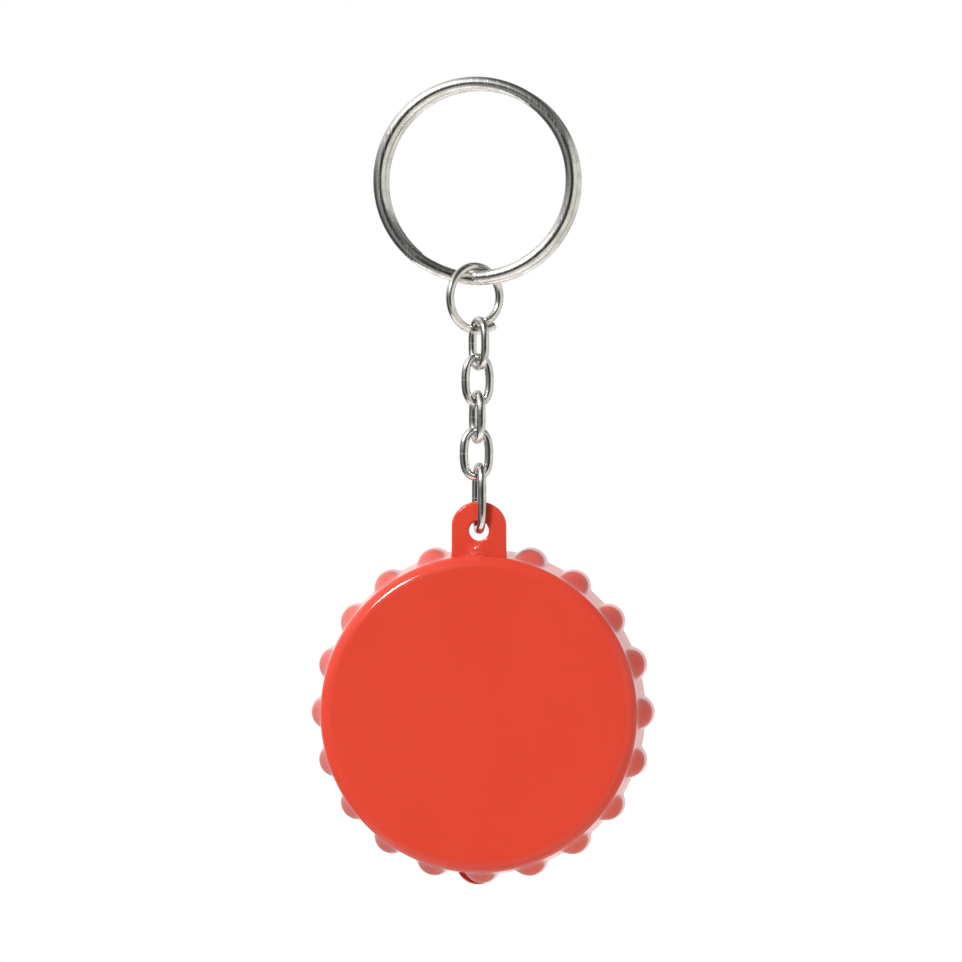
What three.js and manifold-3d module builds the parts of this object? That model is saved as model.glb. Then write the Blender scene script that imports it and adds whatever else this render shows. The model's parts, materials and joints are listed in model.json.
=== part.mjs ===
// Keychain bottle opener: a moulded cap with a steel opener plate in its back, hung from a split ring by a
// jump ring and five oval links. Millimetres, +Z up, the cap's face towards -Y.
// The origin is the highest point inside the split ring, where a hook or a key would carry it.
import * as THREE from 'three';
import { mergeVertices } from 'three/addons/utils/BufferGeometryUtils.js';
import Module from 'manifold-3d';

const wasm = await Module();
wasm.setup();

const { degToRad, lerp, smoothstep } = THREE.MathUtils;

// Split ring: two flat-lying coils of oval wire, with one jog from the front coil to the back one.
const coilRadius = 12.45;
const coilWireWide = 1.5;
const coilWireDeep = 0.92;
const coilPitch = 0.98;
const coilCorner = 0.4;
const coilFrontEnd = degToRad(269);
const coilJogStart = degToRad(360 + 231);
const coilJogEnd = degToRad(360 + 269);
const coilBackEnd = degToRad(720 + 231);
const coilShiftX = 0.17;
const coilShiftZ = -0.1;
const coilTurn = degToRad(-8);
const coilSteps = 92;
const coilCentreZ = -(coilRadius - coilWireWide + coilShiftZ);

// Jump ring: one open turn of round wire whose ends pass each other.
const jumpWire = 1.0;
const jumpOuter = 8.6;
const jumpStart = degToRad(307);
const jumpEnd = degToRad(360 + 306);
const jumpPitch = 1.3;
const jumpSpread = 0.3;
const jumpTurn = degToRad(38);
const jumpX = -0.25;
const jumpY = 0.11;
const jumpSeat = 0.26;
const jumpSteps = 44;
const jumpTop = coilCentreZ - coilRadius + coilWireWide + coilShiftZ + jumpSeat + jumpWire;
const jumpCentreZ = jumpTop - jumpOuter / 2;

// Chain links: oval, one wire each, with the wire's two ends facing each other half way down one leg.
const linkWire = 1.08;
const linkLength = 6.65;
const linkWidth = 4.15;
const lastLinkLength = 8.5;
const lastLinkWidth = 4.5;
const linkSeam = 0.12;
const linkSteps = 30;
const contactGap = 0.06;
const linkTurns = [-60, 19, -72, 10, -78].map(degToRad);
const linkShifts = [0.2, 0.05, 0.02, -0.08, 0.24];
const wireSides = 8;

// Moulded cap. Depth runs from 0 at its flat face towards the back.
const capX = 0.25;
const capTurn = degToRad(-3.7);
const tabDepth = 2.6;
const faceRadius = 17.6;
const edgeRadius = 19.1;
const edgeDepth = 1.5;
const skirtRadius = 19.75;
const skirtDepth = 9.8;
const rimBreak = 0.3;
const wallDepth = 1.7;
const cavityRadius = 17.5;
const ledgeDepth = 8;
const seatRadius = 18.45;
const toothCount = 20;
const toothRadius = 2.15;
const toothRise = 1.14;
const toothFullDepth = 7.5;
const capSegments = 160;

// Tab that carries the cap, moulded with it.
const tabHalfWidth = 3.28;
const tabThickness = 1.8;
const tabRoot = 18;
const tabArcHeight = 2.95;
const holeRadius = 1.2;
const holeHeight = 22.07;
const holeToTop = 3.52;
const holeDrop = 0.2;

// Opener plate and the ring that traps it.
const plateRadius = 18.15;
const plateChord = -12.5;
const plateHollow = 0.9;
const plateDepth = 8.3;
const plateThickness = 1.1;
const partGap = 0.3;
const ringInner = 17;
const ringOuter = 18.15;
const flangeOuter = 19;
const flangeDepth = skirtDepth + partGap;
const backDepth = 11.2;
const lugReach = 21.1;
const lugRadius = 2.7;
const lugAngle = degToRad(-2);
const ringSegments = 96;

const plastic = { color: 0xd8402a, roughness: 0.22, metalness: 0 };
const plated = { color: 0xc9c7bf, roughness: 0.16, metalness: 1 };
const plateSteel = { color: 0xb4b6b8, roughness: 0.3, metalness: 1 };

// A closed three.js geometry as a solid that can be joined and cut.
function solidOf(geometry) {
  const bare = geometry.clone();
  bare.deleteAttribute('normal');
  bare.deleteAttribute('uv');
  const merged = mergeVertices(bare, 1e-4);
  return new wasm.Manifold(new wasm.Mesh({
    numProp: 3,
    vertProperties: new Float32Array(merged.attributes.position.array),
    triVerts: new Uint32Array(merged.index.array),
  }));
}

function geometryOf(solid) {
  const mesh = solid.getMesh();
  const geometry = new THREE.BufferGeometry();
  geometry.setAttribute('position', new THREE.BufferAttribute(mesh.vertProperties, 3));
  geometry.setIndex(new THREE.BufferAttribute(mesh.triVerts, 1));
  return geometry;
}

function piece(name, geometry, look) {
  const mesh = new THREE.Mesh(geometry, new THREE.MeshStandardMaterial(look));
  mesh.name = name;
  return mesh;
}

function roundedBox(width, height, corner) {
  const x = width / 2 - corner;
  const y = height / 2 - corner;
  const shape = new THREE.Shape();
  shape.absarc(x, y, corner, 0, Math.PI / 2);
  shape.absarc(-x, y, corner, Math.PI / 2, Math.PI);
  shape.absarc(-x, -y, corner, Math.PI, 1.5 * Math.PI);
  shape.absarc(x, -y, corner, 1.5 * Math.PI, 2 * Math.PI);
  return shape;
}

function roundWire(diameter, path, steps) {
  const section = new THREE.Shape().absarc(0, 0, diameter / 2, 0, 2 * Math.PI);
  return new THREE.ExtrudeGeometry(section, { extrudePath: path, steps, curveSegments: wireSides / 2 });
}

// An outline in X and Z, made solid from one depth to another along Y.
function slab(shape, fromDepth, toDepth, curveSegments) {
  const geometry = new THREE.ExtrudeGeometry(shape, {
    depth: toDepth - fromDepth,
    bevelEnabled: false,
    curveSegments,
  });
  geometry.rotateX(Math.PI / 2);
  geometry.translate(0, toDepth, 0);
  return geometry;
}

class SplitRingPath extends THREE.Curve {
  getPoint(t, target = new THREE.Vector3()) {
    const angle = lerp(coilFrontEnd, coilBackEnd, t);
    const side = 2 * smoothstep(angle, coilJogStart, coilJogEnd) - 1;
    const radius = coilRadius - coilWireWide / 2;
    return target.set(
      radius * Math.cos(angle) + side * coilShiftX,
      side * coilPitch / 2,
      radius * Math.sin(angle) + side * coilShiftZ,
    );
  }
}

class JumpRingPath extends THREE.Curve {
  getPoint(t, target = new THREE.Vector3()) {
    const angle = lerp(jumpStart, jumpEnd, t);
    const sprung = (2 * t - 1) ** 7;
    const radius = (jumpOuter - jumpWire) / 2 + jumpSpread * sprung;
    return target.set(radius * Math.cos(angle), -sprung * jumpPitch / 2, radius * Math.sin(angle));
  }
}

// An oval of two straight legs and two half circles, starting and ending beside the seam in the left leg.
class LinkPath extends THREE.Curve {
  constructor(length, width) {
    super();
    this.radius = (width - linkWire) / 2;
    this.leg = length - linkWire - 2 * this.radius;
    this.whole = 2 * this.leg + 2 * Math.PI * this.radius;
  }

  getPoint(t, target = new THREE.Vector3()) {
    const { radius, leg, whole } = this;
    const bend = Math.PI * radius;
    let along = lerp(linkSeam / 2, whole - linkSeam / 2, t);
    if (along < leg / 2) {
      return target.set(-radius, 0, along);
    }
    along -= leg / 2;
    if (along < bend) {
      const angle = Math.PI - along / radius;
      return target.set(radius * Math.cos(angle), 0, leg / 2 + radius * Math.sin(angle));
    }
    along -= bend;
    if (along < leg) {
      return target.set(radius, 0, leg / 2 - along);
    }
    along -= leg;
    if (along < bend) {
      const angle = -along / radius;
      return target.set(radius * Math.cos(angle), 0, -leg / 2 + radius * Math.sin(angle));
    }
    along -= bend;
    return target.set(-radius, 0, -leg / 2 + along);
  }
}

function splitRing() {
  const section = roundedBox(coilWireDeep, coilWireWide, coilCorner);
  const geometry = new THREE.ExtrudeGeometry(section, {
    extrudePath: new SplitRingPath(),
    steps: coilSteps,
    curveSegments: 1,
  });
  const ring = piece('split_ring', geometry, plated);
  ring.rotation.z = coilTurn;
  ring.position.z = coilCentreZ;
  return ring;
}

function jumpRing() {
  const ring = piece('jump_ring', roundWire(jumpWire, new JumpRingPath(), jumpSteps), plated);
  ring.rotation.z = jumpTurn;
  ring.position.set(jumpX, jumpY, jumpCentreZ);
  return ring;
}

// Five links, each hanging from the lowest wire of the piece above it. Returns them with the height of the
// last one's lowest wire, where the tab hangs.
function chain() {
  const links = new THREE.Group();
  let restZ = jumpTop - jumpOuter + jumpWire / 2;
  let restWire = jumpWire;
  linkTurns.forEach((turn, i) => {
    const last = i === linkTurns.length - 1;
    const length = last ? lastLinkLength : linkLength;
    const width = last ? lastLinkWidth : linkWidth;
    const topZ = restZ + restWire / 2 + contactGap + linkWire;
    const link = piece(`chain_link_${i + 1}`, roundWire(linkWire, new LinkPath(length, width), linkSteps), plated);
    link.rotation.z = turn;
    link.position.set(linkShifts[i], 0, topZ - length / 2);
    links.add(link);
    restZ = topZ - length + linkWire / 2;
    restWire = linkWire;
  });
  return { links, restZ };
}

// How far the skirt stands out at an angle from the top, so that it has a tooth at each place but the tab's.
function toothHeight(angle, depth) {
  const step = 2 * Math.PI / toothCount;
  const nearest = Math.round(angle / step);
  if (nearest % toothCount === 0) {
    return 0;
  }
  const across = (angle - nearest * step) * skirtRadius;
  const lobe = Math.sqrt(Math.max(0, toothRadius ** 2 - across ** 2)) - (toothRadius - toothRise);
  return Math.max(0, lobe) * smoothstep(depth, edgeDepth, toothFullDepth);
}

function tabSolid() {
  const shoulder = holeHeight + holeToTop - tabArcHeight;
  const outline = new THREE.Shape();
  outline.moveTo(-tabHalfWidth, tabRoot);
  outline.lineTo(tabHalfWidth, tabRoot);
  outline.absellipse(0, shoulder, tabHalfWidth, tabArcHeight, 0, Math.PI);
  outline.holes.push(new THREE.Path().absarc(0, holeHeight, holeRadius, 0, 2 * Math.PI, true));
  return solidOf(slab(outline, tabDepth - tabThickness / 2, tabDepth + tabThickness / 2, 20));
}

function frontShell() {
  const edge = new THREE.EllipseCurve(faceRadius, edgeDepth, edgeRadius - faceRadius, edgeDepth, -Math.PI / 2, 0);
  const profile = [
    new THREE.Vector2(0, 0),
    ...edge.getPoints(4),
    ...[3, 4.5, 6, toothFullDepth].map((depth) => new THREE.Vector2(
      lerp(edgeRadius, skirtRadius, (depth - edgeDepth) / (skirtDepth - edgeDepth)), depth)),
    new THREE.Vector2(skirtRadius, skirtDepth - rimBreak),
    new THREE.Vector2(skirtRadius - rimBreak, skirtDepth),
    new THREE.Vector2(seatRadius, skirtDepth),
    new THREE.Vector2(seatRadius, ledgeDepth),
    new THREE.Vector2(cavityRadius, ledgeDepth),
    new THREE.Vector2(cavityRadius, wallDepth),
    new THREE.Vector2(0, wallDepth),
  ];
  const body = new THREE.LatheGeometry(profile, capSegments);
  const place = body.attributes.position;
  for (let i = 0; i < place.count; i += 1) {
    const radius = Math.hypot(place.getX(i), place.getZ(i));
    if (radius > edgeRadius) {
      const angle = Math.atan2(place.getX(i), place.getZ(i));
      const stretch = 1 + toothHeight(angle, place.getY(i)) / radius;
      place.setXYZ(i, place.getX(i) * stretch, place.getY(i), place.getZ(i) * stretch);
    }
  }
  return piece('front_shell', geometryOf(solidOf(body).add(tabSolid())), plastic);
}

// The plate's outline, grown by an allowance for the recess that it lies in.
function plateOutline(grow) {
  const radius = plateRadius + grow;
  const chord = plateChord + grow;
  const end = Math.asin(chord / radius);
  const halfChord = radius * Math.cos(end);
  const outline = new THREE.Shape();
  outline.moveTo(-halfChord, chord);
  outline.absarc(0, 0, radius, Math.PI - end, 2 * Math.PI + end);
  outline.quadraticCurveTo(0, chord - 2 * plateHollow, -halfChord, chord);
  return outline;
}

function openerPlate() {
  const geometry = slab(plateOutline(0), plateDepth, plateDepth + plateThickness, 24);
  return piece('opener_plate', geometry, plateSteel);
}

function lugSolid() {
  const centre = lugReach - lugRadius;
  const root = ringInner + partGap;
  const outline = new THREE.Shape();
  outline.moveTo(lugRadius, -root);
  outline.lineTo(-lugRadius, -root);
  outline.absarc(0, -centre, lugRadius, Math.PI, 2 * Math.PI);
  const geometry = slab(outline, flangeDepth, backDepth, 12);
  geometry.rotateY(-lugAngle);
  return solidOf(geometry);
}

function backRing() {
  const profile = [
    new THREE.Vector2(ringInner, plateDepth),
    new THREE.Vector2(ringOuter, plateDepth),
    new THREE.Vector2(ringOuter, flangeDepth),
    new THREE.Vector2(flangeOuter, flangeDepth),
    new THREE.Vector2(flangeOuter, backDepth - rimBreak),
    new THREE.Vector2(flangeOuter - rimBreak, backDepth),
    new THREE.Vector2(ringInner, backDepth),
    new THREE.Vector2(ringInner, plateDepth),
  ];
  const ring = solidOf(new THREE.LatheGeometry(profile, ringSegments));
  const recessEnd = plateDepth + plateThickness + partGap;
  const recess = solidOf(slab(plateOutline(partGap), ledgeDepth, recessEnd, 24));
  return piece('back_ring', geometryOf(ring.add(lugSolid()).subtract(recess)), plastic);
}

const { links, restZ } = chain();
const cap = new THREE.Group();
for (const part of [frontShell(), openerPlate(), backRing()]) {
  part.position.set(0, -tabDepth, -holeHeight);
  cap.add(part);
}
cap.rotation.z = capTurn;
cap.position.set(capX, 0, restZ - holeDrop);

const group = new THREE.Group();
group.add(splitRing(), jumpRing(), links, cap);

export default group;
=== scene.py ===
import json
import math

import bmesh
import bpy
import numpy as np
from mathutils import Matrix, Vector


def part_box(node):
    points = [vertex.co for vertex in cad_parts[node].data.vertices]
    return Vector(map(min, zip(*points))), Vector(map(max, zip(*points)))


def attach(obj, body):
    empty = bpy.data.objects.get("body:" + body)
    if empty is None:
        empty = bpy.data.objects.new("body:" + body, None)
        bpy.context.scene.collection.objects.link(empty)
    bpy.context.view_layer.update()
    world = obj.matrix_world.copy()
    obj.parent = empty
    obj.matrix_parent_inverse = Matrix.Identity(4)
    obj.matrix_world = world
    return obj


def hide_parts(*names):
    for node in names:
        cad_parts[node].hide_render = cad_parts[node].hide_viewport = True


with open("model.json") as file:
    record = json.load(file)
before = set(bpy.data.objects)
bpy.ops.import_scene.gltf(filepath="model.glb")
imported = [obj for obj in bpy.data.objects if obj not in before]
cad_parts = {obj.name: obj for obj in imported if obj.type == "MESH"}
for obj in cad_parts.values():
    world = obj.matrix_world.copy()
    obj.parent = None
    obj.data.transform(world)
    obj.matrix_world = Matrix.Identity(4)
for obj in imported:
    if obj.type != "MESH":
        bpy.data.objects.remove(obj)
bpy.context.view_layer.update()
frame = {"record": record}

# Looks of the keychain bottle opener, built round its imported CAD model. Meshes are built in millimetres
# and turned into the frame's metres when they are put in place.

MM = 0.001
TAU = 2 * math.pi
WIRE_SIDES = 32

# Split ring, as in the CAD model: two coils of oval wire with one jog between them. Angles are in degrees.
COIL_RADIUS = 12.45
COIL_WIRE = (0.94, 1.5)
COIL_PITCH = 0.98
COIL_SHIFT = (0.17, -0.1)
COIL_TURN = -8
COIL_ANGLES = (269, 951)
COIL_JOG = (591, 629)
COIL_OVAL = 1.9
COIL_STEPS = 480

# Jump ring: one open turn of wire, sprung apart sideways and outwards at its ends.
JUMP_WIRE = 1.0
JUMP_OUTER = 8.6
JUMP_ANGLES = (307, 666)
JUMP_PITCH = 1.3
JUMP_SPREAD = 0.3
JUMP_TURN = 38
JUMP_SHIFT = (-0.25, 0.11)
JUMP_SECTION = 2.2
JUMP_STEPS = 240
SPRING_POWER = 7

# Links, from the top: turn about the chain's line, width, sideways place, squareness of the oval, and length
# added so that the link hangs clear of its neighbours.
LINK_WIRE = 1.08
LINK_TURNS = (-60, 19, -72, 10, -78)
LINK_WIDTHS = (4.15, 4.15, 4.15, 4.15, 4.5)
LINK_SHIFTS = (0.2, 0.05, 0.02, -0.08, 0.24)
LINK_OVALS = (2.45, 2.45, 2.45, 2.6, 3.0)
LINK_EASE = (0.06, 0, 0, 0, 0.28)
LINK_STEPS = 192
# Wear: flatness and thickness of the wire in each link's legs, the share lost in its bends, the part of the
# half length where a bend begins and is full, and the way that the flats face.
LINK_SECTIONS = (2.35, 2.4, 3.0, 2.7, 2.7)
LINK_LEGS = (0.91, 0.935, 0.98, 0.96, 0.96)
LINK_WEAR = 0.11
BEND_SPAN = (0.5, 0.85)
FLAT_TURN = -7
# The butt seam half way down each link's left leg, and the straight end of the wire beside it.
LINK_SEAM = 0.02
SEAM_END = 0.05

# Moulded cap. Depth is measured from its flat face towards the back.
FACE_RADIUS = 17.6
EDGE_RADIUS = 19.1
EDGE_DEPTH = 1.5
SKIRT_RADIUS = 19.75
SKIRT_DEPTH = 9.8
WALL_DEPTH = 1.7
CAVITY_RADIUS = 17.5
LEDGE_DEPTH = 8.0
SEAT_RADIUS = 18.45
TOOTH_COUNT = 20
TOOTH_RADIUS = 2.15
TOOTH_RISE = 1.14
TOOTH_FULL_DEPTH = 7.5
TOOTH_FILLET = 0.34
TAB_HALF_WIDTH = 3.28
TAB_DEPTHS = (1.7, 3.5)
TAB_ROOT = 18.0
TAB_SHOULDER = 22.64
TAB_ARC_HEIGHT = 2.95
TAB_EDGE = 0.34
TAB_FLARE = (0.5, 0.55)
HOLE_RADIUS = 1.2
HOLE_HEIGHT = 22.07
HOLE_EDGE = 0.25
HOLE_SIDES = 64

# Marks that four ejector pins leave on the inside of the face.
EJECTOR_COUNT = 4
EJECTOR_RADIUS = 1.25
EJECTOR_PLACE = 11.5
EJECTOR_DEPTH = 0.1

# Opener plate and the ring that traps it.
PLATE_RADIUS = 18.15
PLATE_CHORD = -12.5
PLATE_HOLLOW = 0.9
PLATE_DEPTHS = (8.3, 9.4)
PLATE_EDGE = 0.14
RING_INNER = 17.0
RING_OUTER = 18.15
FLANGE_OUTER = 19.0
FLANGE_DEPTH = 10.1
BACK_DEPTH = 11.2
PART_GAP = 0.3
LUG_REACH = 21.1
LUG_RADIUS = 2.7
LUG_ANGLE = -2
LUG_EDGE = 0.25

# Edge rounding of the solids that only cut others.
SHARP = 0.02


def smoothstep(x, low, high):
    t = np.clip((x - low) / (high - low), 0, 1)
    return t * t * (3 - 2 * t)


# ---------------------------------------------------------------- meshes

def make_object(name, verts, faces, place=Matrix.Identity(4)):
    """A mesh object from points in millimetres, set in place in the frame."""
    mesh = bpy.data.meshes.new(name)
    mesh.from_pydata(np.asarray(verts, float).tolist(), [], faces)
    mesh.transform(place)
    mesh.validate()
    shape = bmesh.new()
    shape.from_mesh(mesh)
    bmesh.ops.recalc_face_normals(shape, faces=shape.faces)
    if shape.calc_volume(signed=True) < 0:
        bmesh.ops.reverse_faces(shape, faces=shape.faces)
    shape.to_mesh(mesh)
    shape.free()
    obj = bpy.data.objects.new(name, mesh)
    bpy.context.scene.collection.objects.link(obj)
    return obj


def strip_faces(rows, columns):
    """Quads between rows of points, each row a closed loop."""
    return [
        (i * columns + j, i * columns + (j + 1) % columns,
         (i + 1) * columns + (j + 1) % columns, (i + 1) * columns + j)
        for i in range(rows - 1) for j in range(columns)
    ]


def loop_faces(total, count):
    """Quads between closed rows of points whose last row meets the first."""
    return [
        (i * count + j, i * count + (j + 1) % count,
         (i + 1) % total * count + (j + 1) % count, (i + 1) % total * count + j)
        for i in range(total) for j in range(count)
    ]


def sweep(path, tangent, side, section):
    """Rows of points: the section carried along path, with its first number along side."""
    tangent = tangent / np.linalg.norm(tangent, axis=1)[:, None]
    across = side - (tangent @ side)[:, None] * tangent
    across /= np.linalg.norm(across, axis=1)[:, None]
    out = np.cross(tangent, across)
    rows = path[:, None] + section[..., :1] * across[:, None] + section[..., 1:] * out[:, None]
    return rows, tangent


def open_wire(path, side, section, burr=0.86, inset=0.1):
    """A wire along path with its two ends cropped."""
    rows, tangent = sweep(path, np.gradient(path, axis=0), side, section)
    head = path[0] + (rows[0] - path[0]) * burr - tangent[0] * inset
    tail = path[-1] + (rows[-1] - path[-1]) * burr + tangent[-1] * inset
    rows = np.concatenate([[head], rows, [tail]])
    count = rows.shape[1]
    last = (len(rows) - 1) * count
    ends = [tuple(range(count))[::-1], tuple(range(last, last + count))]
    return rows.reshape(-1, 3), strip_faces(len(rows), count) + ends


def oval(width, height, power):
    """Points round a wire's section, an oval whose sides grow flatter with power."""
    angle = np.arange(WIRE_SIDES) / WIRE_SIDES * TAU
    c, s = np.cos(angle), np.sin(angle)
    return np.stack([
        width / 2 * np.sign(c) * np.abs(c) ** (2 / power),
        height / 2 * np.sign(s) * np.abs(s) ** (2 / power),
    ], axis=1)


def lathe(profile, angles, lift=None):
    """A closed solid turned from (radius, depth) pairs that start and end on the depth axis.

    lift(angles, depth) is added to the radius of each point outside the face's edge.
    """
    count = len(angles)
    verts, faces = [[0, profile[0][1], 0]], []
    for radius, depth in profile[1:-1]:
        r = radius + (lift(angles, depth) if lift and radius > EDGE_RADIUS - 1e-6 else 0)
        ring = np.stack([r * np.sin(angles), np.full(count, depth), r * np.cos(angles)], axis=1)
        verts.extend(ring.tolist())
    verts.append([0, profile[-1][1], 0])
    rows = len(profile) - 2
    faces += [(0, 1 + j, 1 + (j + 1) % count) for j in range(count)]
    faces += [tuple(1 + k for k in face)[::-1] for face in strip_faces(rows, count)]
    start = 1 + (rows - 1) * count
    faces += [(len(verts) - 1, start + (j + 1) % count, start + j) for j in range(count)]
    return np.array(verts), faces


def turned_ring(profile, angles):
    """A closed ring turned about the depth axis from a closed loop of (radius, depth) pairs."""
    count = len(profile)
    rows = [[[r * math.sin(a), d, r * math.cos(a)] for r, d in profile] for a in angles]
    verts = np.array(rows).reshape(-1, 3)
    return verts, loop_faces(len(angles), count)


def rounding(depths, radius, steps):
    """(inset, depth) pairs that round both edges of a plate between two depths."""
    turns = np.linspace(0, math.pi / 2, steps + 1)
    near = [(radius * (1 - math.sin(t)), depths[0] + radius * (1 - math.cos(t))) for t in turns]
    far = [(radius * (1 - math.cos(t)), depths[1] - radius * (1 - math.sin(t))) for t in turns]
    return near + far


def rounded_slab(outline, depths, radius, steps):
    """A plate with rounded edges, from an anticlockwise loop of (x, z) pairs seen from the front."""
    before, after = np.roll(outline, 1, axis=0), np.roll(outline, -1, axis=0)
    normals = []
    for a, b in ((before, outline), (outline, after)):
        along = b - a
        along /= np.linalg.norm(along, axis=1)[:, None]
        normals.append(np.stack([along[:, 1], -along[:, 0]], axis=1))
    mean = (normals[0] + normals[1]) / 2
    outward = mean / np.maximum(0.35, (mean ** 2).sum(1))[:, None]
    return stack([(outline - outward * inset, depth) for inset, depth in rounding(depths, radius, steps)])


def stack(layers):
    """A closed solid through (loop, depth) layers, from front to back, each loop with the same count."""
    verts = [np.stack([loop[:, 0], np.full(len(loop), depth), loop[:, 1]], axis=1) for loop, depth in layers]
    count = len(verts[0])
    last = (len(verts) - 1) * count
    faces = [face[::-1] for face in strip_faces(len(verts), count)]
    faces += [tuple(range(count)), tuple(range(last, last + count))[::-1]]
    return np.concatenate(verts), faces


def combine(target, other, operation):
    """Joins other to target, or cuts it away, and removes other."""
    modifier = target.modifiers.new("combine", "BOOLEAN")
    modifier.operation = operation
    modifier.solver = "MANIFOLD"
    modifier.object = other
    graph = bpy.context.evaluated_depsgraph_get()
    made = bpy.data.meshes.new_from_object(target.evaluated_get(graph))
    target.modifiers.clear()
    target.data = made
    bpy.data.objects.remove(other)
    return target


def turned(points, degrees):
    """Points turned about the vertical axis."""
    return points @ np.array(Matrix.Rotation(math.radians(degrees), 3, "Z")).T


# ---------------------------------------------------------------- ring and chain

def split_ring():
    """The coil, centred on the CAD ring's box."""
    degrees = np.linspace(*COIL_ANGLES, COIL_STEPS)
    angle = np.radians(degrees)
    side = 2 * smoothstep(degrees, *COIL_JOG) - 1
    radius = COIL_RADIUS - COIL_WIRE[1] / 2
    path = np.stack([
        radius * np.cos(angle) + side * COIL_SHIFT[0],
        side * COIL_PITCH / 2,
        radius * np.sin(angle) + side * COIL_SHIFT[1],
    ], axis=1)
    verts, faces = open_wire(path, np.array([0, 1, 0]), oval(*COIL_WIRE, COIL_OVAL))
    verts = turned(verts, COIL_TURN)
    low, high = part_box("split_ring")
    centre = np.array((low + high) / 2 / MM)
    return make_object("split_ring_wire", verts - (verts.min(0) + verts.max(0)) / 2 + centre, faces)


def flat_side(turn):
    """The way the worn flats of a wire face, in a piece that is then turned by this many degrees."""
    flat = math.radians(FLAT_TURN - turn)
    return np.array([-math.sin(flat), math.cos(flat), 0])


def jump_ring():
    """The wire, hung from the top of the CAD ring's box."""
    t = np.linspace(0, 1, JUMP_STEPS)
    angle = np.radians(JUMP_ANGLES[0] + (JUMP_ANGLES[1] - JUMP_ANGLES[0]) * t)
    sprung = (2 * t - 1) ** SPRING_POWER
    radius = (JUMP_OUTER - JUMP_WIRE) / 2 + JUMP_SPREAD * sprung
    path = np.stack([radius * np.cos(angle), -sprung * JUMP_PITCH / 2, radius * np.sin(angle)], axis=1)
    section = oval(JUMP_WIRE, JUMP_WIRE, JUMP_SECTION)
    verts, faces = open_wire(path, flat_side(JUMP_TURN), section, burr=0.8)
    verts = turned(verts, JUMP_TURN)
    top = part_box("jump_ring")[1].z / MM
    verts += np.array([*JUMP_SHIFT, top - verts[:, 2].max()])
    return make_object("jump_ring_wire", verts, faces)


def chain_link(index):
    """The wire of a link, numbered from 0 at the top."""
    low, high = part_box(f"chain_link_{index + 1}")
    length = (high.z - low.z) / MM + LINK_EASE[index]
    centre = (low.z + high.z) / 2 / MM
    half = np.array([(LINK_WIDTHS[index] - LINK_WIRE) / 2, (length - LINK_WIRE) / 2])
    power = LINK_OVALS[index]
    seam = ((LINK_SEAM / 2 + SEAM_END) / half[1]) ** (power / 2)
    angle = math.pi + np.linspace(seam, TAU - seam, LINK_STEPS)
    c, s = np.cos(angle), np.sin(angle)
    path = np.stack([
        half[0] * np.sign(c) * np.abs(c) ** (2 / power),
        np.zeros(len(angle)),
        half[1] * np.sign(s) * np.abs(s) ** (2 / power),
    ], axis=1)
    bend = smoothstep(np.abs(path[:, 2]) / half[1], *BEND_SPAN)
    flat, slim = LINK_SECTIONS[index], LINK_LEGS[index]
    sections = np.array([
        oval(LINK_WIRE, LINK_WIRE, flat + (2 - flat) * b) * (slim + (1 - LINK_WEAR - slim) * b)
        for b in bend
    ])
    verts, faces = open_wire(path, flat_side(LINK_TURNS[index]), sections, burr=1, inset=SEAM_END)
    verts = turned(verts, LINK_TURNS[index]) + np.array([LINK_SHIFTS[index], 0, centre])
    return make_object(f"chain_link_{index + 1}_wire", verts, faces)


# ---------------------------------------------------------------- cap

face_mount = next(m for m in frame["record"]["mounts"] if m["name"] == "front_face")
normal = Vector(face_mount["axis"])
CAP_PLACE = Matrix.Translation(Vector(face_mount["pos_m"]) / MM) @ Matrix.Rotation(
    math.atan2(normal.x, -normal.y), 4, "Z")


def tooth_height(angles, depth):
    """How far the skirt stands out at each angle from the top: a tooth at each place but the tab's."""
    step = TAU / TOOTH_COUNT
    nearest = np.round(angles / step)
    across = (angles - nearest * step) * SKIRT_RADIUS
    lobe = np.sqrt(np.maximum(0, TOOTH_RADIUS ** 2 - across ** 2)) - (TOOTH_RADIUS - TOOTH_RISE)
    rounded = (lobe + np.sqrt(lobe ** 2 + TOOTH_FILLET ** 2)) / 2
    rounded *= TOOTH_RISE / (TOOTH_RISE + TOOTH_FILLET ** 2 / 4 / TOOTH_RISE)
    rounded[nearest % TOOTH_COUNT == 0] = 0
    return rounded * smoothstep(depth, EDGE_DEPTH, TOOTH_FULL_DEPTH)


def arc(centre, radii, start, end, steps):
    """Points (radius, depth) on a quarter or other stretch of an ellipse in the profile."""
    return [
        (centre[0] + radii[0] * math.cos(a), centre[1] + radii[1] * math.sin(a))
        for a in np.radians(np.linspace(start, end, steps + 1))
    ]


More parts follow.
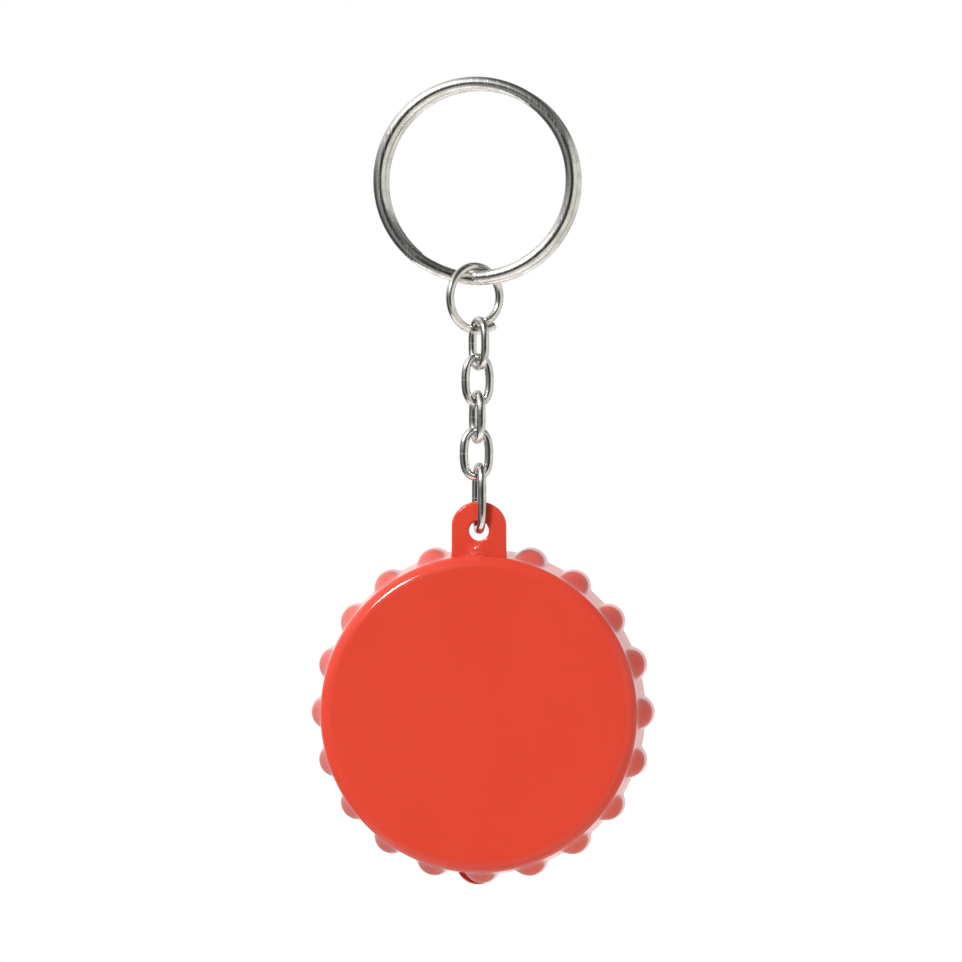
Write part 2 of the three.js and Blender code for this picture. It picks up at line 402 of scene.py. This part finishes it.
def cap_profile():
    """Half the shell's section: face, edge, skirt, rim, seat, ledge, bore and the inside of the face."""
    def flare(depth):
        share = (depth - EDGE_DEPTH) / (SKIRT_DEPTH - EDGE_DEPTH)
        return EDGE_RADIUS + (SKIRT_RADIUS - EDGE_RADIUS) * share

    rim, small, fillet = 0.3, 0.15, 0.6
    profile = [(0, 0), *[(r, 0) for r in (4, 8, 12, 15, 16.6, 17.3)]]
    profile += arc((FACE_RADIUS, EDGE_DEPTH), (EDGE_RADIUS - FACE_RADIUS, EDGE_DEPTH), -90, 0, 14)
    profile += [(flare(d), d) for d in np.linspace(EDGE_DEPTH + 0.25, SKIRT_DEPTH - rim, 22)]
    profile += arc((SKIRT_RADIUS - rim, SKIRT_DEPTH - rim), (rim, rim), 15, 90, 4)
    profile += arc((SEAT_RADIUS + small, SKIRT_DEPTH - small), (small, small), 90, 180, 3)
    profile += [(SEAT_RADIUS, LEDGE_DEPTH + 0.05), (SEAT_RADIUS - 0.05, LEDGE_DEPTH)]
    profile += arc((CAVITY_RADIUS + small, LEDGE_DEPTH - small), (small, small), 90, 180, 3)
    profile += [(CAVITY_RADIUS, 6), (CAVITY_RADIUS, 4)]
    profile += arc((CAVITY_RADIUS - fillet, WALL_DEPTH + fillet), (fillet, -fillet), 0, 90, 5)
    profile += [(r, WALL_DEPTH) for r in (14, 9, 5, 2)]
    profile += [(0, WALL_DEPTH)]
    return profile


def tooth_angles():
    """Angles round the cap, closer together where the teeth meet the skirt."""
    step = TAU / TOOTH_COUNT
    base = math.sqrt(TOOTH_RADIUS ** 2 - (TOOTH_RADIUS - TOOTH_RISE) ** 2) / SKIRT_RADIUS
    half = step / 2
    one = np.concatenate([
        np.linspace(0, base * 0.8, 12, endpoint=False),
        np.linspace(base * 0.8, base * 1.15, 15, endpoint=False),
        np.linspace(base * 1.15, half, 6, endpoint=False),
    ])
    sector = np.concatenate([one, [half], -one[:0:-1] + step])
    return np.concatenate([sector + i * step for i in range(TOOTH_COUNT)])


def tab_outline():
    """Two straight legs that flare into the cap, and an arched top."""
    leg = np.linspace(TAB_ROOT, TAB_SHOULDER, 28, endpoint=False)
    width = TAB_HALF_WIDTH + TAB_FLARE[0] * np.exp(-(leg - TAB_ROOT) / TAB_FLARE[1])
    bend = np.linspace(0, math.pi, 72)
    top = np.stack([TAB_HALF_WIDTH * np.cos(bend), TAB_SHOULDER + TAB_ARC_HEIGHT * np.sin(bend)], axis=1)
    right = np.stack([width, leg], axis=1)
    left = np.stack([-width, leg], axis=1)[::-1]
    return np.concatenate([right, top, left])


def circle(radius, count, centre=(0, 0)):
    angle = np.arange(count) / count * TAU
    return np.stack([centre[0] + radius * np.cos(angle), centre[1] + radius * np.sin(angle)], axis=1)


def trumpet(radius, depths, flare, centre):
    """A round cutter that opens out towards both faces, so that it leaves rounded edges."""
    past = 0.5
    steps = [(flare, depths[0] - past), *rounding(depths, flare, 6), (flare, depths[1] + past)]
    return stack([(circle(radius + wider, HOLE_SIDES, centre), depth) for wider, depth in steps])


def front_shell():
    shell = make_object("cap_shell", *lathe(cap_profile(), tooth_angles(), tooth_height), CAP_PLACE)
    tab = make_object("tab", *rounded_slab(tab_outline(), TAB_DEPTHS, TAB_EDGE, 5), CAP_PLACE)
    cutter = trumpet(HOLE_RADIUS, TAB_DEPTHS, HOLE_EDGE, (0, HOLE_HEIGHT))
    combine(tab, make_object("hole", *cutter, CAP_PLACE), "DIFFERENCE")
    combine(shell, tab, "UNION")
    for i in range(EJECTOR_COUNT):
        a = (i + 0.5) / EJECTOR_COUNT * TAU
        pin = circle(EJECTOR_RADIUS, 48, (EJECTOR_PLACE * math.cos(a), EJECTOR_PLACE * math.sin(a)))
        cutter = rounded_slab(pin, (WALL_DEPTH - EJECTOR_DEPTH, WALL_DEPTH + 1), SHARP, 1)
        combine(shell, make_object("mark", *cutter, CAP_PLACE), "DIFFERENCE")
    return shell


def plate_outline(grow):
    """A segment of a disc whose straight edge is a little hollow, grown all round."""
    radius, chord = PLATE_RADIUS + grow, PLATE_CHORD + grow
    end = math.asin(chord / radius)
    half = radius * math.cos(end)
    around = np.linspace(math.pi - end, TAU + end, 90)
    low = np.stack([radius * np.cos(around), radius * np.sin(around)], axis=1)
    t = np.linspace(0, 1, 42)[1:-1]
    hollow_x = half * (1 - 2 * t)
    hollow_z = chord - 4 * t * (1 - t) * PLATE_HOLLOW
    return np.concatenate([low, np.stack([hollow_x, hollow_z], axis=1)])


def opener_plate():
    slab = rounded_slab(plate_outline(0), PLATE_DEPTHS, PLATE_EDGE, 3)
    return make_object("opener_plate_steel", *slab, CAP_PLACE)


def back_ring():
    """The ring that plugs into the shell's seat, with its flange, its lug and the plate's recess."""
    front, outer, inner = PLATE_DEPTHS[0], 0.3, 0.25
    loop = [(RING_INNER, front + 0.15), (RING_INNER + 0.15, front)]
    loop += [(RING_OUTER - 0.1, front), (RING_OUTER, front + 0.1), (RING_OUTER, FLANGE_DEPTH)]
    loop += [(FLANGE_OUTER - 0.08, FLANGE_DEPTH), (FLANGE_OUTER, FLANGE_DEPTH + 0.08)]
    loop += arc((FLANGE_OUTER - outer, BACK_DEPTH - outer), (outer, outer), 0, 90, 5)
    loop += arc((RING_INNER + inner, BACK_DEPTH - inner), (inner, inner), 90, 180, 4)
    angles = np.linspace(0, TAU, 288, endpoint=False)
    ring = make_object("back_ring_moulding", *turned_ring(loop, angles), CAP_PLACE)
    around = np.linspace(math.pi, TAU, 48)
    middle = LUG_RADIUS - LUG_REACH
    low = np.stack([LUG_RADIUS * np.cos(around), middle + LUG_RADIUS * np.sin(around)], axis=1)
    root = -(RING_INNER + PART_GAP)
    outline = np.concatenate([[(-LUG_RADIUS, root)], low, [(LUG_RADIUS, root)]])
    lug_place = CAP_PLACE @ Matrix.Rotation(math.radians(-LUG_ANGLE), 4, "Y")
    lug = make_object("lug", *rounded_slab(outline, (FLANGE_DEPTH, BACK_DEPTH), LUG_EDGE, 4), lug_place)
    combine(ring, lug, "UNION")
    recess_depths = (PLATE_DEPTHS[0] - PART_GAP, PLATE_DEPTHS[1] + PART_GAP)
    cutter = rounded_slab(plate_outline(PART_GAP), recess_depths, SHARP, 1)
    return combine(ring, make_object("recess", *cutter, CAP_PLACE), "DIFFERENCE")


# ---------------------------------------------------------------- materials

class Nodes:
    """Short ways to add nodes to a material or a world."""

    def __init__(self, tree):
        self.tree = tree
        tree.nodes.clear()

    def add(self, kind, values=None, **settings):
        node = self.tree.nodes.new(kind)
        for name, value in settings.items():
            setattr(node, name, value)
        for name, value in (values or {}).items():
            if isinstance(value, bpy.types.NodeSocket):
                self.tree.links.new(value, node.inputs[name])
            else:
                node.inputs[name].default_value = value
        return node

    def place(self, scale=(1, 1, 1), turn=(0, 0, 0)):
        """Object coordinates in millimetres, scaled and turned."""
        where = self.add("ShaderNodeTexCoord").outputs["Object"]
        mapping = self.add("ShaderNodeMapping", {"Vector": where})
        mapping.inputs["Scale"].default_value = [s / MM for s in scale]
        mapping.inputs["Rotation"].default_value = [math.radians(t) for t in turn]
        return mapping.outputs["Vector"]

    def noise(self, where, scale, detail=3.0, roughness=0.55):
        return self.add("ShaderNodeTexNoise", {
            "Vector": where, "Scale": scale, "Detail": detail, "Roughness": roughness,
        }).outputs["Fac"]

    def spread(self, value, low, high, to_low=0.0, to_high=1.0, kind="SMOOTHSTEP"):
        return self.add("ShaderNodeMapRange", {
            "Value": value, "From Min": low, "From Max": high, "To Min": to_low, "To Max": to_high,
        }, interpolation_type=kind).outputs["Result"]

    def maths(self, a, b, operation="ADD"):
        return self.add("ShaderNodeMath", {0: a, 1: b}, operation=operation).outputs[0]

    def blend(self, factor, below, above):
        """A colour that goes from below to above; each is three numbers or a socket."""
        mix = self.add("ShaderNodeMix", {0: factor}, data_type="RGBA")
        for socket, value in ((mix.inputs[6], below), (mix.inputs[7], above)):
            if isinstance(value, bpy.types.NodeSocket):
                self.tree.links.new(value, socket)
            else:
                socket.default_value = (*value, 1)
        return mix.outputs[2]

    def bump(self, height, distance, strength=1.0, onto=None):
        values = {"Height": height, "Distance": distance * MM, "Strength": strength}
        if onto is not None:
            values["Normal"] = onto
        return self.add("ShaderNodeBump", values).outputs["Normal"]

    def scratches(self, turns, fineness=0.5, length=0.012, low=0.63):
        """Thin lines in several directions: 1 on a line, 0 elsewhere."""
        total = None
        for turn in turns:
            line = self.noise(self.place((fineness, length, length), turn), 12.0, 1.0, 0.5)
            line = self.spread(line, low, low + 0.05)
            total = line if total is None else self.maths(total, line, "MAXIMUM")
        return total


def material(name):
    made = bpy.data.materials.new(name)
    made.use_nodes = True
    return made, Nodes(made.node_tree)


def finish_material(nodes, values):
    shader = nodes.add("ShaderNodeBsdfPrincipled", values)
    nodes.add("ShaderNodeOutputMaterial", {"Surface": shader.outputs["BSDF"]})


def plating(name, bright, dull, rough, pits):
    """Nickel plating on drawn wire: drawing marks, pits and worn dull patches."""
    made, n = material(name)
    patches = n.noise(n.place(), 0.55, 3.0)
    pitting = n.noise(n.place(), 7.0, 4.0, 0.7)
    lines = n.scratches(((0, 0, 20), (0, 40, -35), (70, 0, 60)))
    shade = n.spread(n.maths(patches, n.maths(pitting, 0.35, "MULTIPLY")), 0.55, 0.85)
    roughness = n.maths(n.spread(patches, 0.3, 0.7, *rough), n.maths(lines, 0.12, "MULTIPLY"))
    bumps = n.bump(pitting, pits)
    bumps = n.bump(n.noise(n.place(), 1.3, 2.0), 0.014, onto=bumps)
    bumps = n.bump(lines, -0.0007, onto=bumps)
    finish_material(n, {
        "Base Color": n.blend(shade, bright, dull),
        "Metallic": 1.0,
        "Roughness": roughness,
        "Normal": bumps,
    })
    return made


def glossy_plastic(name, first, second, gate=None):
    """Solid-colour moulded plastic: a trace of flow in the colour, soft orange peel, fine handling marks.

    gate is the place, in metres, of the rough patch that the mould's gate leaves.
    """
    made, n = material(name)
    flow = n.noise(n.place((1, 1, 0.35), (0, 0, 25)), 0.12, 2.0)
    smudge = n.noise(n.place(), 0.35, 4.0, 0.6)
    lines = n.scratches(((0, 12, 0), (0, 75, 0), (0, -48, 0)), 0.3, 0.03, 0.74)
    roughness = n.maths(n.spread(smudge, 0.35, 0.7, 0.09, 0.15), n.maths(lines, 0.04, "MULTIPLY"))
    peel = n.bump(n.noise(n.place(), 0.9, 2.0), 0.006)
    peel = n.bump(n.noise(n.place(), 14.0, 2.0), 0.0006, onto=peel)
    peel = n.bump(lines, -0.0002, onto=peel)
    if gate:
        where = n.add("ShaderNodeTexCoord").outputs["Object"]
        away = n.add("ShaderNodeVectorMath", {0: where, 1: gate}, operation="DISTANCE").outputs["Value"]
        patch = n.spread(away, 0.6 * MM, 1.9 * MM, 1.0, 0.0)
        torn = n.noise(n.place((0.7, 1, 1.3)), 1.1, 3.0)
        peel = n.bump(n.maths(torn, patch, "MULTIPLY"), 0.4, onto=peel)
    finish_material(n, {
        "Base Color": n.blend(n.spread(flow, 0.3, 0.7), first, second),
        "Roughness": roughness,
        "IOR": 1.5,
        "Specular IOR Level": 0.32,
        "Subsurface Weight": 0.08,
        "Subsurface Radius": (1.0, 0.25, 0.12),
        "Subsurface Scale": 0.6 * MM,
        "Normal": peel,
    })
    return made


def stamped_steel(name):
    """Rolled sheet: fine lines along the sheet, a few cross scratches, and a duller stamped surface."""
    made, n = material(name)
    grain = n.noise(n.place((0.02, 1, 1.6)), 9.0, 4.0, 0.65)
    patches = n.noise(n.place(), 0.25, 3.0)
    lines = n.scratches(((0, 30, 0), (0, -60, 0)), 0.4, 0.03, 0.66)
    roughness = n.maths(n.spread(grain, 0.3, 0.7, 0.2, 0.38), n.maths(lines, 0.15, "MULTIPLY"))
    bumps = n.bump(grain, 0.004)
    bumps = n.bump(lines, -0.002, onto=bumps)
    finish_material(n, {
        "Base Color": n.blend(n.spread(patches, 0.3, 0.7), (0.62, 0.62, 0.61), (0.5, 0.5, 0.5)),
        "Metallic": 1.0,
        "Roughness": roughness,
        "Normal": bumps,
    })
    return made


RED = ((0.635, 0.0545, 0.0305), (0.65, 0.058, 0.033))
GATE_PLACE = (0.1, TAB_DEPTHS[0], 19.0)
shell_red = glossy_plastic("shell_red", *RED, gate=(CAP_PLACE @ Vector(GATE_PLACE)) * MM)
ring_red = glossy_plastic("ring_red", *RED)
ring_nickel = plating("ring_nickel", (0.84, 0.83, 0.79), (0.66, 0.65, 0.61), (0.09, 0.18), 0.0018)
jump_nickel = plating("jump_nickel", (0.86, 0.85, 0.81), (0.66, 0.65, 0.61), (0.05, 0.13), 0.003)
chain_nickel = plating("chain_nickel", (0.86, 0.85, 0.82), (0.6, 0.59, 0.56), (0.06, 0.16), 0.0055)
plate_steel = stamped_steel("plate_steel")


# ---------------------------------------------------------------- pieces

def put(piece, body, look, slot, *nodes, angle=32):
    """Gives a finished mesh its size in metres, its look and its body, and hides the CAD nodes it stands
    for.

    Edges that turn by more than angle degrees stay sharp.
    """
    piece.data.transform(Matrix.Scale(MM, 4))
    piece.data.materials.clear()
    piece.data.materials.append(look)
    piece.data.shade_smooth()
    piece.data.set_sharp_from_angle(angle=math.radians(angle))
    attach(piece, body)
    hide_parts(*nodes)
    return piece


def even_normals(piece):
    """Keeps flat faces flat beside their rounded edges."""
    modifier = piece.modifiers.new("even", "WEIGHTED_NORMAL")
    modifier.keep_sharp = True
    modifier.weight = 80


put(split_ring(), "split_ring", ring_nickel, "ring_plating", "split_ring", angle=50)
put(jump_ring(), "jump_ring", jump_nickel, "jump_plating", "jump_ring", angle=50)
for number in range(1, 6):
    node = f"chain_link_{number}"
    put(chain_link(number - 1), node, chain_nickel, "chain_plating", node, angle=50)
even_normals(put(front_shell(), "cap", shell_red, "shell_plastic", "front_shell"))
even_normals(put(opener_plate(), "cap", plate_steel, "plate_steel", "opener_plate"))
even_normals(put(back_ring(), "cap", ring_red, "ring_plastic", "back_ring"))


# ---------------------------------------------------------------- studio

FLOOR_RADIUS = 600
FLOOR_BELOW = 600


def floor():
    """A plain pale disc under the hanging opener."""
    loop = circle(FLOOR_RADIUS, 128)
    verts = [(x, y, -FLOOR_BELOW) for x, y in loop]
    made = make_object("floor", verts, [tuple(range(len(loop)))], Matrix.Scale(MM, 4))
    look, n = material("floor_white")
    tone = n.spread(n.noise(n.place(), 0.02, 2.0), 0.3, 0.7)
    finish_material(n, {"Base Color": n.blend(tone, (0.9, 0.9, 0.89), (0.93, 0.93, 0.92)), "Roughness": 0.8})
    made.data.materials.append(look)


def area_light(name, place, size, power):
    """A soft square lamp that lights the cap without showing in the gloss."""
    data = bpy.data.lights.new(name, "AREA")
    data.shape = "RECTANGLE"
    data.size = data.size_y = size
    data.energy = power
    lamp = bpy.data.objects.new(name, data)
    bpy.context.scene.collection.objects.link(lamp)
    lamp.location = place
    towards = CAP_PLACE.translation * MM - lamp.location
    lamp.rotation_euler = towards.to_track_quat("-Z", "Y").to_euler()
    lamp.visible_camera = False
    lamp.visible_glossy = False


# Name, place and side in metres, and power in watts.
LAMPS = (
    ("front_fill", (0.05, -0.9, 0.1), 0.9, 0.5),
    ("left_fill", (-0.8, 0.25, 0), 0.8, 2.4),
    ("right_fill", (0.8, 0.25, 0), 0.8, 2.4),
    ("high_fill", (0, 0.25, 0.7), 0.8, 2.2),
    ("low_fill", (0, 0.15, -0.58), 0.6, 1.1),
)

# Where the room's one small window is, and how bright it is.
KEY_TOWARDS = (-0.507, -0.676, 0.535)
KEY_LEVEL = 80.0
BLACK, WHITE, CREAM = (0.035, 0.035, 0.035), (1.0, 1.0, 1.0), (1.0, 0.975, 0.9)
# Degrees round the front view from the right, and how bright the room is there: in front of the object, to
# its sides, and behind it.
ROOM = (
    (-180, 0.26, 0.09, 0.6), (-150, 0.22, 0.05, 0.5), (-125, 0.3, 0.2, 0.45), (-98, 0.66, 0.62, 0.42),
    (-60, 0.8, 0.78, 0.42), (-20, 0.82, 0.8, 0.42), (22, 0.74, 0.74, 0.42), (36, 0.2, 0.2, 0.42),
    (60, 0.13, 0.06, 0.42), (92, 0.2, 0.12, 0.46), (104, 0.5, 0.4, 0.6), (116, 1.0, 0.9, 0.75),
    (148, 1.0, 1.0, 0.8), (162, 0.4, 0.45, 0.75), (174, 0.28, 0.16, 0.65), (180, 0.26, 0.09, 0.6),
)


def studio_surroundings():
    """The room as the gloss sees it, and plain white where the camera sees past the object.

    White behind the object, dark straight ahead of it, cream low on the right, one small bright window
    high on the left.
    """
    world = bpy.data.worlds.new("studio")
    world.use_nodes = True
    bpy.context.scene.world = world
    n = Nodes(world.node_tree)
    direction = n.add("ShaderNodeTexCoord").outputs["Generated"]

    def lobe(towards, inner, outer):
        """1 within inner degrees of a direction, 0 beyond outer degrees."""
        unit = Vector(towards).normalized()
        dot = n.add("ShaderNodeVectorMath", {0: direction, 1: unit}, operation="DOT_PRODUCT")
        return n.spread(dot.outputs["Value"], math.cos(math.radians(outer)), math.cos(math.radians(inner)))

    parts = n.add("ShaderNodeSeparateXYZ", {"Vector": direction}).outputs
    around = n.maths(parts["Z"], parts["X"], "ARCTAN2")
    turn = n.spread(around, -math.pi, math.pi, kind="LINEAR")

    ramp = n.add("ShaderNodeValToRGB", {"Fac": turn})
    stops = ramp.color_ramp.elements
    stops[0].position = 0
    stops[0].color = (*ROOM[0][1:], 1)
    stops[-1].position = 1
    stops[-1].color = (*ROOM[-1][1:], 1)
    for degrees, *levels in ROOM[1:-1]:
        stops.new((degrees + 180) / 360).color = (*levels, 1)
    levels = n.add("ShaderNodeSeparateColor", {"Color": ramp.outputs["Color"]}).outputs
    ahead = (0, -1, 0)
    level = n.blend(lobe(ahead, 105, 140), levels["Blue"], levels["Green"])
    level = n.blend(lobe(ahead, 42, 62), level, levels["Red"])
    tint = n.blend(lobe((1, 0, -1), 50, 90), WHITE, CREAM)
    colour = n.add("ShaderNodeVectorMath", {0: level, 1: tint}, operation="MULTIPLY").outputs["Vector"]
    colour = n.blend(lobe(ahead, 10, 28), colour, BLACK)
    colour = n.blend(lobe((0.08, 1, 0.03), 8, 20), colour, WHITE)
    colour = n.blend(lobe(KEY_TOWARDS, 4.5, 7.5), colour, (KEY_LEVEL,) * 3)
    seen = n.add("ShaderNodeLightPath").outputs["Is Camera Ray"]
    colour = n.blend(seen, colour, WHITE)
    background = n.add("ShaderNodeBackground", {"Color": colour, "Strength": 1.0})
    n.add("ShaderNodeOutputWorld", {"Surface": background.outputs[0]})


# The camera looks straight at the front. Metres: its distance from the hang point, the width it sees there,
# and how far right of and below the hang point it stands.
CAMERA_DISTANCE = 0.7
CAMERA_WIDTH = 0.1159
CAMERA_RIGHT = 0.00047
CAMERA_BELOW = 0.047


def camera():
    data = bpy.data.cameras.new("camera")
    data.sensor_width = 36
    data.lens = data.sensor_width * CAMERA_DISTANCE / CAMERA_WIDTH
    data.clip_start, data.clip_end = 0.05, 20
    cam = bpy.data.objects.new("camera", data)
    bpy.context.scene.collection.objects.link(cam)
    cam.location = (CAMERA_RIGHT, -CAMERA_DISTANCE, -CAMERA_BELOW)
    cam.rotation_euler = (math.pi / 2, 0, 0)
    bpy.context.scene.camera = cam


floor()
studio_surroundings()
for lamp in LAMPS:
    area_light(*lamp)
camera()
bpy.context.scene.view_settings.view_transform = "Standard"
